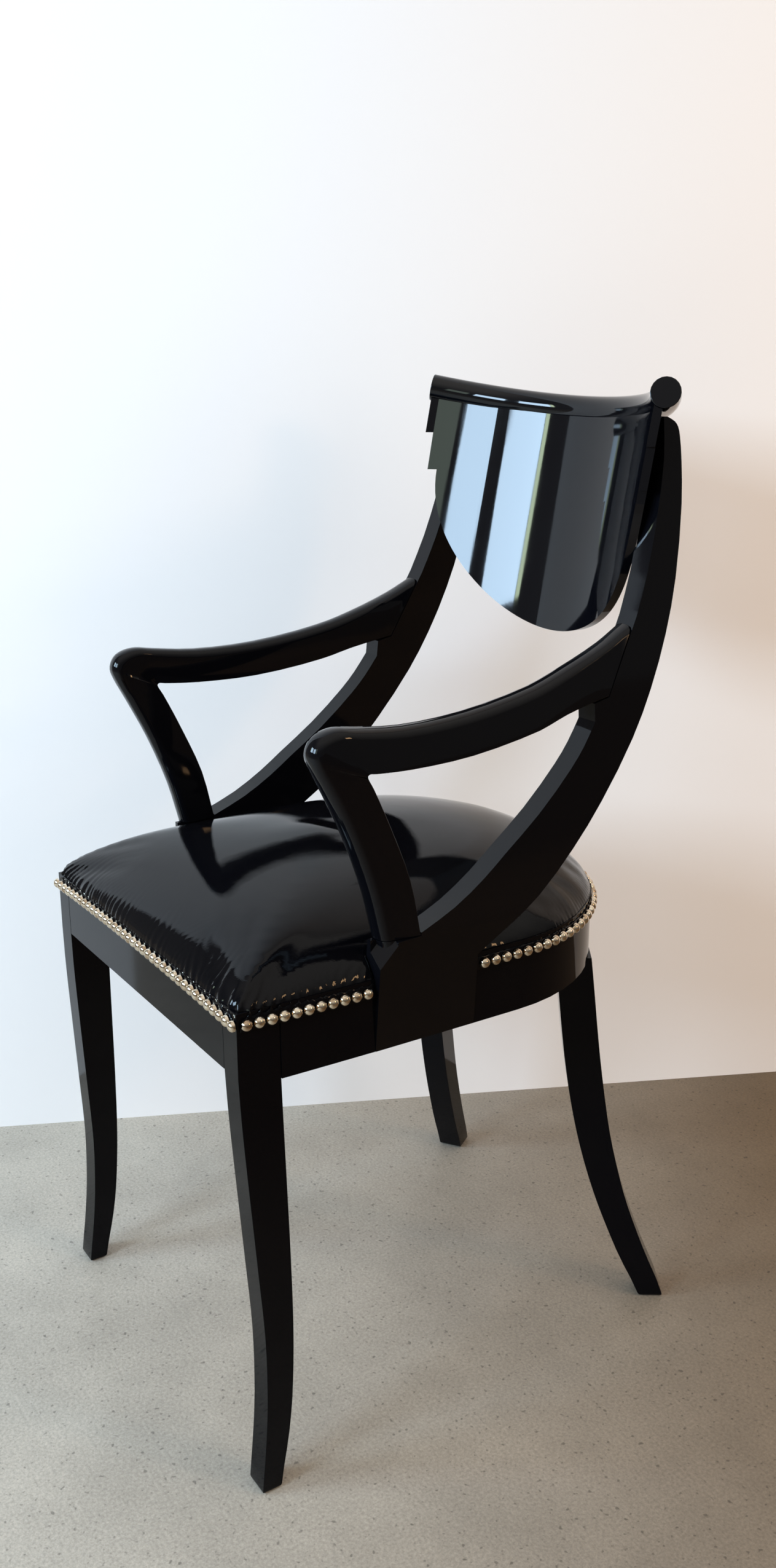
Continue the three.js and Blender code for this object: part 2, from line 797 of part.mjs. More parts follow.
// Seat frame
const outerPrism = prism(seatOutline(0), sideRailBottom, frameTop);
const innerPrism = prism(seatOutline(-railThick), sideRailBottom - railThick, frameTop + railThick);
const hoop = outerPrism.subtract(innerPrism);
const legSpace = legSlab(-jointGap, reach, jointGap, sideRailBottom - railThick, reach);

// Half spaces outside and inside the rear leg
const besideLeg = loft([0, reach].map((z) => [
  legPoint(-reach, jointGap, z), legPoint(reach, jointGap, z),
  legPoint(reach, reach, z), legPoint(-reach, reach, z),
]));
const behindLeg = loft([0, reach].map((z) => [
  legPoint(-reach, -rearLegWide - jointGap, z), legPoint(reach, -rearLegWide - jointGap, z),
  legPoint(reach, -reach, z), legPoint(-reach, -reach, z),
]));

let frontLeg = buildFrontLeg();
let rearLeg = buildRearLeg();
const crest = buildCrest(crestRod);
const panel = buildPanel(0).subtract(buildCrest(crestRod + jointGap));

const lapInner = stileOuter(apexY, sideRailBottom) - blockLap;
const lapFront = blockFront - railThick;
const lapRear = stileRearAt(frameTop);
const lapWaste = box(-reach, lapInner, lapFront, lapRear + railThick, 0, frameTop + coverGap);
const stileCut = buildStile().subtract(lapWaste).subtract(buildPanel(jointGap));
let stile = largest(stileCut.subtract(buildStopWaste()));
const lapRoom = box(lapInner - jointGap, reach, blockFront - jointGap, lapRear + jointGap, 0, reach);

let sideRail = hoop.intersect(besideLeg)
  .intersect(box(0, reach, frontLegDeep + jointGap, reach, 0, reach))
  .subtract(lapRoom);
const backRail = hoop.intersect(behindLeg).intersect(mirrored(behindLeg));
const railInner = seatFrontHalf - frontLegWide - jointGap;
const frontRail = box(-railInner, railInner, 0, railThick, frontRailBottom, frameTop);

// Corner blocks
const blocksLow = frameTop - cornerBlockDrop;
const blocksHigh = frameTop - boardThick - jointGap;
const well = prism(seatOutline(-railThick - jointGap), blocksLow, blocksHigh);
const legCorner = box(railInner, reach, -reach, frontLegDeep + jointGap, 0, reach);
const wedgeRear = railThick + cornerBlockRun;
const wedge = prism(
  [
    [railInner - cornerBlockRun, 0], [reach, 0], [reach, wedgeRear],
    [railInner, wedgeRear], [railInner - cornerBlockRun, railThick],
  ],
  blocksLow, blocksHigh,
);
let frontBlock = well.intersect(wedge)
  .intersect(box(0, reach, railThick + jointGap, wedgeRear, 0, reach))
  .subtract(legCorner);
const rearMiddle = -rearLegWide / 2;
const rearZone = loft([blocksLow, blocksHigh].map((z) => [
  legPoint(-rearBlockIn, rearMiddle + rearBlockHalf, z), legPoint(reach, rearMiddle + rearBlockHalf, z),
  legPoint(reach, rearMiddle - rearBlockHalf, z), legPoint(-rearBlockIn, rearMiddle - rearBlockHalf, z),
]));
let rearBlock = well.intersect(rearZone).subtract(legSpace);

// Seat board lies flush with the top of the rails, on the corner blocks
const boardBlank = prism(seatOutline(-railThick - coverGap), frameTop - boardThick, frameTop);
const frontCut = box(railInner - coverGap, reach, -reach, frontLegDeep + coverGap, 0, reach);
const rearCut = legSlab(-coverGap, reach, coverGap, 0, reach);
const board = boardBlank.subtract(frontCut).subtract(mirrored(frontCut))
  .subtract(rearCut).subtract(mirrored(rearCut));

const cushion = buildCushion().subtract(stileRoom()).subtract(mirrored(stileRoom()));

// Screws and dowels
const fixings = [];
const wedgeFace = [
  railInner - cornerBlockRun * (1 - wedgeScrewShare), railThick + cornerBlockRun * wedgeScrewShare,
];
const wedgeInto = [1, -1, 0];
const rearInto = [Math.cos(rearLegTurn), Math.sin(rearLegTurn), 0];
for (const [name, drop] of [["low", lowScrewDrop], ["high", highScrewDrop]]) {
  const at = [...wedgeFace, frameTop - drop];
  fixings.push([`front_block_screw_${name}`, screw(at, wedgeInto, frontScrewLong)]);
  const hole = screwHole(at, wedgeInto, frontScrewLong);
  frontBlock = frontBlock.subtract(hole);
  frontLeg = frontLeg.subtract(hole);
  const rearAt = legPoint(-rearBlockIn, rearMiddle, frameTop - drop);
  fixings.push([`rear_block_screw_${name}`, screw(rearAt, rearInto, rearScrewLong)]);
  const rearHole = screwHole(rearAt, rearInto, rearScrewLong);
  rearBlock = rearBlock.subtract(rearHole);
  rearLeg = rearLeg.subtract(rearHole);
}
const stileScrewPlaces = [["front", blockFront + stileScrewInset], ["rear", blockRear - stileScrewInset]];
for (const [name, y] of stileScrewPlaces) {
  const at = [seatSide(y) - railThick, y, frameTop - stileScrewDrop];
  fixings.push([`stile_screw_${name}`, screw(at, [1, 0, 0], stileScrewLong)]);
  const hole = screwHole(at, [1, 0, 0], stileScrewLong);
  sideRail = sideRail.subtract(hole);
  stile = stile.subtract(hole);
}
let arm = buildArm();
const stations = armStations();
const dowelPlaces = [["arm_dowel", stations[0]], ["post_dowel", stations[stations.length - 1]]];
for (const [name, { top, under }] of dowelPlaces) {
  const y = (top[0] + under[0]) / 2;
  const z = (top[1] + under[1]) / 2;
  const at = [stileOuter(y, z) - sideThick / 2 - armTurnIn / 2, y, z];
  const into = [0, top[1] - under[1], under[0] - top[0]];
  fixings.push([name, dowel(at, into, 0)]);
  arm = arm.subtract(dowel(at, into, jointGap));
  stile = stile.subtract(dowel(at, into, jointGap));
}

add("crest_rail", crest, lacquer);
add("back_panel", panel, lacquer);
addPair("stile", stile, lacquer);
addPair("arm", arm, lacquer);
addPair("front_leg", frontLeg, lacquer);
addPair("rear_leg", rearLeg, lacquer);
add("front_rail", frontRail, lacquer);
addPair("side_rail", sideRail, lacquer);
add("back_rail", backRail, lacquer);
addPair("front_corner_block", frontBlock, beech);
addPair("rear_corner_block", rearBlock, beech);
add("seat_board", board, plywood);
add("seat_cushion", cushion, leather);
for (const [name, body] of fixings) {
  addPair(name, body, name.includes("dowel") ? beech : steel);
}

// Nails
const nailOut = coverThick + seatingGap * 2 + nailBandThick / 2;
const rim = seatHalf(nailOut);

// Part of the seat's rim between two places, front to back
function rimBetween(front, rear) {
  const at = (y) => {
    const i = rim.findIndex((p) => p[1] > y);
    const [a, b] = [rim[i - 1], rim[i]];
    return [a[0] + ((y - a[1]) / (b[1] - a[1])) * (b[0] - a[0]), y];
  };
  return [at(front), ...rim.filter(([, y]) => y > front && y < rear), at(rear)];
}

const nailMargin = nailRadius + coverGap;
const sideLine = rimBetween(coverCorner, blockFront - nailMargin);
addPair("nails_side", nailRow(spread(sideLine, sideNails)), nickel);
const nailsHigh = coverBottom + coverBackRise + nailUp + nailRadius;
const rearStart = rimBetween(stileRearAt(nailsHigh) + nailMargin, backCentreY)[0];
const rearHalf = [rearStart, ...rim.filter(([, y]) => y > rearStart[1])];
const rearLine = [...rearHalf, ...rearHalf.slice(0, -1).reverse().map(([x, y]) => [-x, y])];
add("nails_back", nailRow(spread(rearLine, backNails)), nickel);
const frontEnd = seatFrontHalf - nailRadius / 2;
const frontLine = [[-frontEnd, -nailOut], [frontEnd, -nailOut]];
add("nails_front", nailRow(spread(frontLine, frontNails)), nickel);

export default chair;
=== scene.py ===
"""Looks of a klismos armchair in black lacquer, with a patent leather seat and domed nails."""
import math

import bpy
from mathutils import Matrix, Vector, noise


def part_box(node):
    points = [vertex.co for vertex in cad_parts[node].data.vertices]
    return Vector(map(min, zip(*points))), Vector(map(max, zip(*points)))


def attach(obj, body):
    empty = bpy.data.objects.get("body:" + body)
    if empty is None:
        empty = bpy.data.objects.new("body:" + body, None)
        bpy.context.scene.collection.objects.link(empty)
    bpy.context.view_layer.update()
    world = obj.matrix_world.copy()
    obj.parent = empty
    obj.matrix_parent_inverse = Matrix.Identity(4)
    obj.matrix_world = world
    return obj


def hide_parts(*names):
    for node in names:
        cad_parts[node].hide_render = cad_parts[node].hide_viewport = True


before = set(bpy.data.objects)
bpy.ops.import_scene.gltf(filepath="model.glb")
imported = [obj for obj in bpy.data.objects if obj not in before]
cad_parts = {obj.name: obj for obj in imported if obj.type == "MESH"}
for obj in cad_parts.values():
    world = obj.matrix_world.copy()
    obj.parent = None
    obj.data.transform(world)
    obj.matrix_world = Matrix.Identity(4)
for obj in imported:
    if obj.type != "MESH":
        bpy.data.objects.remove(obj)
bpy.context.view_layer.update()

# Places from the frame
FRONT_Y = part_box("front_rail")[0].y
RAIL_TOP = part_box("side_rail_right")[1].z
COVER_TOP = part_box("seat_cushion")[1].z

# Seat outline, as in the solids
SEAT_FRONT_HALF = 0.199
SEAT_SWELL = 0.003
SEAT_WIDEST = 0.211
BACK_CENTRE = 0.282
BACK_RADIUS_X = 0.2016
BACK_RADIUS_Y = 0.1888
SEAT_CENTRE = 0.236
CORNER_RADIUS = 0.007
CORE_CORNER = 0.001
COVER_THICK = 0.0013
SEATING_GAP = 0.0003
COVER_GAP = 0.0009
OUTLINE_STEP = 0.004

# Crown
COVER_BOTTOM = 0.4394
SIDE_TOP = 0.457
CROWN_RISE = COVER_TOP - SIDE_TOP
CROWN_RUN = 0.168
CROWN_FLAT_POWER = 1.8
CROWN_EDGE_POWER = 0.63
CROWN_RINGS = 36
SKIRT_SPARE = 0.012
CUT_DEEP = 4 * SKIRT_SPARE
CUT_WIDE = 6 * COVER_THICK
COVER_BOW = 0.004
COVER_BACK_RISE = 0.0025

# Cloth of the cover
CLOTH_VOXEL = 0.005
CLOTH_FRAMES = 20
CLOTH_PRESSURE = 3.5
CLOTH_CAP = 0.005
CLOTH_PINNED = 0.016
CLOTH_CALM = 14

# Gathers above the nails, deepest near the front corners
GATHER_DEEP = 0.0013
GATHER_LONG = 0.014
GATHER_START = 0.006
GATHER_FADE = 0.0115
GATHER_CORNER = 0.06
GATHER_EVEN_SHARE = 0.35
GATHER_PATCH_SHARE = 0.65
GATHER_CORNER_SHARE = 2.6
GATHER_TURN_RADIUS = 0.26
GATHER_JITTER = 1.3
GATHER_JITTER_SCALE = 22
GATHER_JITTER_LEVEL = 0.3
GATHER_PATCH_SCALE = 9
GATHER_PATCH_LEVEL = 1.7
GATHER_SHARP = 0.6
GATHER_CAP = 0.4
FLAT_NORMAL = 0.97

# Nails
NAIL_RADIUS = 0.00515
NAIL_HIGH = 0.0046
NAIL_Z = 0.445
FRONT_NAILS = 37
SIDE_NAILS = 11
BACK_NAILS = 59
NAIL_RINGS = 7
NAIL_SIDES = 24
NAIL_SPIN = 0.05

# Edges: angles in degrees, rounding in metres
SMOOTH_UNDER = 38
BEVEL_OVER = 40
BEVEL_STEPS = 3
COVER_CREASE = 50
NAIL_CREASE = 60
MERGE_UNDER = 0.00001
LACQUER_EDGE = 0.0007
BLOCK_EDGE = 0.001
BOARD_EDGE = 0.0005

# Noise values that a finish takes as its low and high ends
EVEN_SPAN = (0.3, 0.7)
HAZE_SPAN = (0.3, 0.75)
DUST_SPAN = (0.71, 0.79)
TARNISH_SPAN = (0.4, 0.7)
SCRATCH_SPAN = (0.3, 0.8)
STONES_SPAN = (0.66, 0.74)

# Finishes: an index of refraction for each gloss, colours, and roughness from low to high
FRAME_IOR = 1.3
RUBBED_IOR = 1.2
POLISHED_IOR = 1.4
LEATHER_IOR = 1.26
LACQUER_BLACK = (0.0022, 0.0022, 0.0032, 1)
LACQUER_DUST = (0.04, 0.038, 0.036, 1)
LACQUER_DUSTY = 0.25
LACQUER_ROUGH = (0.03, 0.08)
LEATHER_BLACK = (0.0018, 0.0018, 0.0026, 1)
LEATHER_ROUGH = (0.03, 0.06)
NICKEL_BRIGHT = (0.81, 0.72, 0.58, 1)
NICKEL_TARNISH = (0.42, 0.3, 0.19, 1)
NICKEL_ROUGH = (0.05, 0.13)
STEEL_GREY = (0.42, 0.43, 0.45, 1)
STEEL_ROUGH = (0.3, 0.55)
BEECH = ((0.3, 0.17, 0.08, 1), (0.5, 0.32, 0.17, 1))
PLYWOOD = ((0.28, 0.18, 0.09, 1), (0.48, 0.33, 0.19, 1))
WOOD_STRETCH = 0.08
PORES_FINER = 9.0
PORES_ROUGHER = 0.15

# Camera, placed from the front of the seat
CAMERA_AT = (1.1352, -0.4549, 0.9488)
CAMERA_RIGHT = (0.547, 0.837, 0.0)
CAMERA_UP = (-0.239, 0.156, 0.958)
CAMERA_BACK = (0.802, -0.524, 0.286)
CAMERA_LENS = 32.695
CAMERA_SENSOR = 36
CAMERA_SHIFT = (-0.00853, 0.00469)

# Studio
WALL_FROM = (-0.66, -0.259)
WALL_ALONG = (0.4217, 0.9067)
WALL_LONG = 6.0
WALL_HIGH = 3.4
# The wall's colour turns from white to a painted warm shade between these places along it
WALL_SHADE_SPAN = (-0.3, 0.9)
WALL_WHITE = (0.97, 0.93, 0.91, 1)
WALL_PAINTED_WARM_SHADE = (0.99, 0.89, 0.82, 1)
WALL_ROUGH = 0.9
FLOOR_HALF = 12.0
# The floor's colour turns from pale to a painted dark shade away from the windows, standing in for
# their light falling off
FLOOR_SHADE_WAY = (0.547, 0.837, 0.0)
FLOOR_SHADE_SPAN = (-0.45, 0.68)
FLOOR_PALE = (0.46, 0.415, 0.35, 1)
FLOOR_PAINTED_SHADE = (0.12, 0.075, 0.037, 1)
FLOOR_CLOUDS = (0.82, 1.12)
FLOOR_GRIT = (0.72, 1.28)
FLOOR_STONES = (1.0, 0.55)
FLOOR_ROUGH = 0.5
FLOOR_SPECULAR = 0.3

# Windows in front of the chair: name, degrees from straight ahead, width, radiance and colour
WINDOW_FAR = 3.2
WINDOW_Z = 1.6
WINDOW_HIGH = 0.85
WINDOW_TARGET_Y = 0.2
SKY_RADIANCE = 31.0
SKY_BLUE = (0.57, 0.78, 1.0)
WINDOWS = (
    ("near", 8.2, 0.9, SKY_RADIANCE, SKY_BLUE),
    ("far", -16.8, 1.03, SKY_RADIANCE, SKY_BLUE),
    ("garden", 25.0, 0.6, 2.4, (0.8, 1.0, 0.85)),
    ("leaves", -27.3, 0.12, 15.0, (0.8, 1.0, 0.7)),
)

# Sky dome, brighter overhead and even on its dark side, and the lamps of the room
DOME_COLOUR = (1.0, 0.95, 0.88, 1)
DOME_LOW = 0.18
DOME_RISE = 0.7
DOME_RISE_SPAN = (0.2, 0.8)
DOME_DARK_WAY = (-0.88, -0.47, 0.0)
DOME_DARK_SPAN = (0.2, 0.7)
FILL_AT = (2.0, 1.3, 1.3)
FILL_TARGET = (0.2, 1.5, 0.5)
FILL_SIZE = (2.2, 2.2)
FILL_RADIANCE = 1.5
FILL_COLOUR = (1.0, 0.88, 0.76)
GLOW_AT = (1.9, 1.1, 1.5)
GLOW_TARGET = (0, 0, 0.5)
GLOW_SIZE = (0.28, 0.28)
GLOW_RADIANCE = 22.0
GLOW_COLOUR = (1.0, 0.6, 0.3)


# Meshes

def new_object(name, data):
    made = bpy.data.objects.new(name, data)
    bpy.context.scene.collection.objects.link(made)
    return made


def mesh_of(name, points, faces):
    mesh = bpy.data.meshes.new(name)
    mesh.from_pydata([tuple(p) for p in points], [], faces)
    mesh.validate()
    for face in mesh.polygons:
        face.use_smooth = True
    return new_object(name, mesh)


def loft(name, rings):
    """Closed body from rings that hold the same number of points."""
    count = len(rings[0])
    points = [p for ring in rings for p in ring]
    faces = []
    for i in range(len(rings) - 1):
        for j in range(count):
            a, b = i * count + j, i * count + (j + 1) % count
            faces.append((a, b, b + count, a + count))
    last = (len(rings) - 1) * count
    faces.append(tuple(reversed(range(count))))
    faces.append(tuple(range(last, last + count)))
    return mesh_of(name, points, faces)


def apply_modifiers(body):
    graph = bpy.context.evaluated_depsgraph_get()
    done = bpy.data.meshes.new_from_object(body.evaluated_get(graph))
    old = body.data
    body.modifiers.clear()
    body.data = done
    bpy.data.meshes.remove(old)


# Shader nodes

def start(name):
    made = bpy.data.materials.new(name)
    made.use_nodes = True
    nodes = made.node_tree.nodes
    return made, nodes, made.node_tree.links, nodes["Principled BSDF"]


def add(nodes, kind, **values):
    node = nodes.new(kind)
    for key, value in values.items():
        if key in node.inputs:
            node.inputs[key].default_value = value
        else:
            setattr(node, key, value)
    return node


def place(nodes, links, stretch=(1.0, 1.0, 1.0)):
    coordinates = nodes.new("ShaderNodeTexCoord")
    mapping = nodes.new("ShaderNodeMapping")
    mapping.inputs["Scale"].default_value = stretch
    links.new(coordinates.outputs["Object"], mapping.inputs["Vector"])
    return mapping.outputs["Vector"]


def cloudy(nodes, links, where, scale, detail, rough=0.5):
    node = add(nodes, "ShaderNodeTexNoise", Scale=scale, Detail=detail, Roughness=rough)
    links.new(where, node.inputs["Vector"])
    return node.outputs["Fac"]


def remap(nodes, links, value, source, target):
    """Carries a value from one range, low and high, to another."""
    node = nodes.new("ShaderNodeMapRange")
    for key, number in zip(("From Min", "From Max", "To Min", "To Max"), (*source, *target)):
        node.inputs[key].default_value = number
    links.new(value, node.inputs["Value"])
    return node.outputs["Result"]


def mix_colour(nodes, links, share, a, b):
    node = add(nodes, "ShaderNodeMix", data_type="RGBA")
    for socket in node.inputs:
        if socket.type == "RGBA":
            socket.default_value = a if socket.name == "A" else b
    links.new(share, node.inputs["Factor"])
    return next(out for out in node.outputs if out.type == "RGBA")


def bump(nodes, links, height, distance, strength, under=None):
    node = add(nodes, "ShaderNodeBump", Distance=distance, Strength=strength)
    links.new(height, node.inputs["Height"])
    if under:
        links.new(under, node.inputs["Normal"])
    return node.outputs["Normal"]


def along(nodes, links, where, way):
    """How far a place lies along a direction."""
    dot = add(nodes, "ShaderNodeVectorMath", operation="DOT_PRODUCT")
    dot.inputs[1].default_value = way
    links.new(where, dot.inputs[0])
    return dot.outputs["Value"]


def graded(nodes, links, where, way, span, a, b):
    """Colour that changes evenly from a to b between two places along a direction."""
    share = nodes.new("ShaderNodeMapRange")
    share.interpolation_type = "SMOOTHSTEP"
    share.inputs["From Min"].default_value, share.inputs["From Max"].default_value = span
    links.new(along(nodes, links, where, way), share.inputs["Value"])
    return mix_colour(nodes, links, share.outputs["Result"], a, b)


def multiply(nodes, links, colour, value):
    node = add(nodes, "ShaderNodeVectorMath", operation="SCALE")
    links.new(colour, node.inputs[0])
    links.new(value, node.inputs["Scale"])
    return node.outputs["Vector"]


# Finishes

def lacquer(name, ior):
    """Black lacquer: a deep film with slow waves, faint ripple, a little dust and haze."""
    made, nodes, links, shader = start(name)
    shader.inputs["IOR"].default_value = ior
    where = place(nodes, links)
    haze = cloudy(nodes, links, where, scale=14.0, detail=6.0, rough=0.6)
    dust = cloudy(nodes, links, where, scale=900.0, detail=2.0, rough=0.6)
    speck = remap(nodes, links, dust, DUST_SPAN, (0.0, LACQUER_DUSTY))
    colour = mix_colour(nodes, links, speck, LACQUER_BLACK, LACQUER_DUST)
    links.new(colour, shader.inputs["Base Color"])
    links.new(remap(nodes, links, haze, HAZE_SPAN, LACQUER_ROUGH), shader.inputs["Roughness"])
    wave = cloudy(nodes, links, where, scale=9.0, detail=1.0)
    ripple = cloudy(nodes, links, where, scale=260.0, detail=2.0)
    slow = bump(nodes, links, wave, distance=0.0006, strength=0.25)
    fine = bump(nodes, links, ripple, distance=0.00001, strength=0.3, under=slow)
    links.new(fine, shader.inputs["Normal"])
    return made


def patent_leather():
    """Black patent leather: glossy film over a fine grain."""
    made, nodes, links, shader = start("seat_leather")
    shader.inputs["Base Color"].default_value = LEATHER_BLACK
    shader.inputs["IOR"].default_value = LEATHER_IOR
    where = place(nodes, links)
    haze = cloudy(nodes, links, where, scale=22.0, detail=5.0, rough=0.6)
    links.new(remap(nodes, links, haze, HAZE_SPAN, LEATHER_ROUGH), shader.inputs["Roughness"])
    grain = add(nodes, "ShaderNodeTexVoronoi", Scale=1100.0, feature="F1")
    links.new(where, grain.inputs["Vector"])
    hollows = cloudy(nodes, links, where, scale=55.0, detail=3.0)
    slow = bump(nodes, links, hollows, distance=0.0003, strength=0.2)
    pebbles = grain.outputs["Distance"]
    fine = bump(nodes, links, pebbles, distance=0.00003, strength=0.4, under=slow)
    links.new(fine, shader.inputs["Normal"])
    return made


def nickel():
    """Polished warm nickel, tarnished in places."""
    made, nodes, links, shader = start("nail_nickel")
    shader.inputs["Metallic"].default_value = 1.0
    where = place(nodes, links)
    tarnish = cloudy(nodes, links, where, scale=130.0, detail=3.0)
    share = remap(nodes, links, tarnish, TARNISH_SPAN, (0.0, 1.0))
    colour = mix_colour(nodes, links, share, NICKEL_BRIGHT, NICKEL_TARNISH)
    links.new(colour, shader.inputs["Base Color"])
    scratch = cloudy(nodes, links, where, scale=1500.0, detail=3.0)
    links.new(remap(nodes, links, scratch, SCRATCH_SPAN, NICKEL_ROUGH), shader.inputs["Roughness"])
    links.new(bump(nodes, links, scratch, distance=0.00001, strength=0.2), shader.inputs["Normal"])
    return made


def wood(name, colours, axis, scale, rough):
    """Bare wood with growth lines along one axis and fine pores."""
    made, nodes, links, shader = start(name)
    stretch = [WOOD_STRETCH if i == axis else 1.0 for i in range(3)]
    where = place(nodes, links, stretch)
    lines = cloudy(nodes, links, where, scale=scale, detail=5.0, rough=0.6)
    pores = cloudy(nodes, links, where, scale=scale * PORES_FINER, detail=2.0)
    share = remap(nodes, links, lines, EVEN_SPAN, (0.0, 1.0))
    links.new(mix_colour(nodes, links, share, *colours), shader.inputs["Base Color"])
    worn = remap(nodes, links, pores, EVEN_SPAN, (rough, rough + PORES_ROUGHER))
    links.new(worn, shader.inputs["Roughness"])
    links.new(bump(nodes, links, pores, distance=0.0002, strength=0.4), shader.inputs["Normal"])
    return made


def steel():
    """Plain steel with fine scratches."""
    made, nodes, links, shader = start("screw_steel")
    shader.inputs["Metallic"].default_value = 1.0
    shader.inputs["Base Color"].default_value = STEEL_GREY
    where = place(nodes, links)
    scratch = cloudy(nodes, links, where, scale=700.0, detail=3.0)
    links.new(remap(nodes, links, scratch, EVEN_SPAN, STEEL_ROUGH), shader.inputs["Roughness"])
    links.new(bump(nodes, links, scratch, distance=0.00005, strength=0.4), shader.inputs["Normal"])
    return made


# Solids that keep their shape

def smooth_shading(degrees):
    """Node group that joins doubled vertices and shades smooth, but for edges over an angle."""
    tree = bpy.data.node_groups.new("smooth_shading", "GeometryNodeTree")
    tree.interface.new_socket("Geometry", in_out="INPUT", socket_type="NodeSocketGeometry")
    tree.interface.new_socket("Geometry", in_out="OUTPUT", socket_type="NodeSocketGeometry")
    nodes, links = tree.nodes, tree.links
    enter = nodes.new("NodeGroupInput")
    leave = nodes.new("NodeGroupOutput")
    merge = nodes.new("GeometryNodeMergeByDistance")
    merge.inputs["Distance"].default_value = MERGE_UNDER
    clean = nodes.new("GeometryNodeRemoveAttribute")
    clean.inputs["Name"].default_value = "custom_normal"
    soft = nodes.new("GeometryNodeSetShadeSmooth")
    soft.domain = "FACE"
    sharp = nodes.new("GeometryNodeSetShadeSmooth")
    sharp.domain = "EDGE"
    sharp.inputs["Shade Smooth"].default_value = False
    edge = nodes.new("GeometryNodeInputMeshEdgeAngle")
    over = nodes.new("FunctionNodeCompare")
    over.operation = "GREATER_THAN"
    over.inputs["B"].default_value = math.radians(degrees)
    links.new(edge.outputs["Unsigned Angle"], over.inputs["A"])
    links.new(over.outputs["Result"], sharp.inputs["Selection"])
    chain = (enter, merge, clean, soft, sharp, leave)
    for before, after in zip(chain, chain[1:]):
        links.new(before.outputs["Geometry"], after.inputs["Geometry"])
    return tree


def dress(node, material, shading, bevel):
    """Gives a solid its material, shading that is smooth over its curves, and softened edges."""
    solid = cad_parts[node]
    solid.data.materials.clear()
    solid.data.materials.append(material)
    solid.modifiers.new("smooth", "NODES").node_group = shading
    if bevel:
        edge = solid.modifiers.new("edge", "BEVEL")
        edge.width = bevel
        edge.segments = BEVEL_STEPS
        edge.limit_method = "ANGLE"
        edge.angle_limit = math.radians(BEVEL_OVER)
        edge.use_clamp_overlap = True
        edge.harden_normals = True


def finish_of(node):
    """Which finish a solid has, and how far its edges are softened."""
    if "screw" in node:
        return "steel", 0.0
    if "dowel" in node:
        return "beech", 0.0
    if "corner_block" in node:
        return "beech", BLOCK_EDGE
    if node == "seat_board":
        return "plywood", BOARD_EDGE
    if node in ("back_panel", "crest_rail"):
        return "polished", LACQUER_EDGE
    if "leg" in node or "rail" in node:
        return "rubbed", LACQUER_EDGE
    return "lacquer", LACQUER_EDGE


def dress_solids():
    shading = smooth_shading(SMOOTH_UNDER)
    finishes = {
        "lacquer": lacquer("black_lacquer", FRAME_IOR),
        "rubbed": lacquer("rubbed_lacquer", RUBBED_IOR),
        "polished": lacquer("polished_lacquer", POLISHED_IOR),
        "beech": wood("frame_wood", BEECH, axis=0, scale=60.0, rough=0.55),
        "plywood": wood("seat_plywood", PLYWOOD, axis=1, scale=45.0, rough=0.6),
        "steel": steel(),
    }
    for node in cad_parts:
        if not node.startswith(("seat_cushion", "nails")):
            finish, bevel = finish_of(node)
            dress(node, finishes[finish], shading, bevel)


# Seat outline

def seat_half(out, step):
    """Half of the outline seen from above, from the front corner to the middle of the back."""
    points = []
    count = round(BACK_CENTRE / step)
    for i in range(count + 1):
        y = BACK_CENTRE * i / count
        off = (y - SEAT_WIDEST) / SEAT_WIDEST
        points.append((SEAT_FRONT_HALF + SEAT_SWELL * (1 - off * off) + out, y))
    arc = round(math.pi / 2 * BACK_RADIUS_X / step)
    for i in range(1, arc + 1):
        turn = math.pi * i / (2 * arc)
        x = (BACK_RADIUS_X + out) * math.cos(turn)
        points.append((x, BACK_CENTRE + (BACK_RADIUS_Y + out) * math.sin(turn)))
    points[0] = (points[0][0], -out)
    return points


def rounded_corner(at, radius, step):
    """Points round the front corner, from the front to the side."""
    centre_x, centre_y = at[0] - radius, at[1] + radius
    turns = max(2, round(math.pi / 2 * radius / step) + 2)
    corner = []
    for i in range(turns + 1):
        turn = math.pi * i / (2 * turns) - math.pi / 2
        corner.append((centre_x + radius * math.cos(turn), centre_y + radius * math.sin(turn)))
    return corner


def mirrored(points):
    return [(-x, y) for x, y in reversed(points)]


def seat_outline(out, radius, step=OUTLINE_STEP):
    """Whole outline, with the two front corners rounded."""
    half = seat_half(out, step)
    corner_x, corner_y = half[0]
    corner = rounded_corner(half[0], radius, step)
    side = [p for p in half[1:-1] if p[1] > corner_y + radius + step / 2]
    count = round(2 * corner_x / step)
    front = [((radius - corner_x) * (1 - 2 * i / count), corner_y) for i in range(1, count)]
    return corner + side + [(0.0, half[-1][1])] + mirrored(side) + mirrored(corner) + front


def cover_rise(x, y):
    """Rise of the cover's lower edge towards the middle of the front and of the back."""
    if y < 0:
        return COVER_BOW * (1 - (x / SEAT_FRONT_HALF) ** 2)
    return COVER_BACK_RISE * (max(0.0, y - BACK_CENTRE) / BACK_RADIUS_Y) ** 2


# Cover

def crown(share):
    return CROWN_RISE * (1 - (1 - share) ** CROWN_FLAT_POWER) ** CROWN_EDGE_POWER


def seat_ring(outline, inset, z):
    """The outline drawn in towards the seat's centre, at a level that bows with the lower edge."""
    share = 1 - inset / SEAT_FRONT_HALF
    middle = FRONT_Y + SEAT_CENTRE
    return [
        (x * share, middle + (y - SEAT_CENTRE) * share, z + cover_rise(x, y))
        for x, y in outline
    ]


def seat_rings(low):
    """Rings of the cover's outer surface, from a level under its lower edge to the crown."""
    outline = seat_outline(COVER_THICK + SEATING_GAP, CORNER_RADIUS)
    rings = [seat_ring(outline, 0.0, low), seat_ring(outline, 0.0, (low + SIDE_TOP) / 2)]
    for i in range(CROWN_RINGS + 1):
        share = (i / CROWN_RINGS) ** 2
        rings.append(seat_ring(outline, CROWN_RUN * share, SIDE_TOP + crown(share)))
    return rings


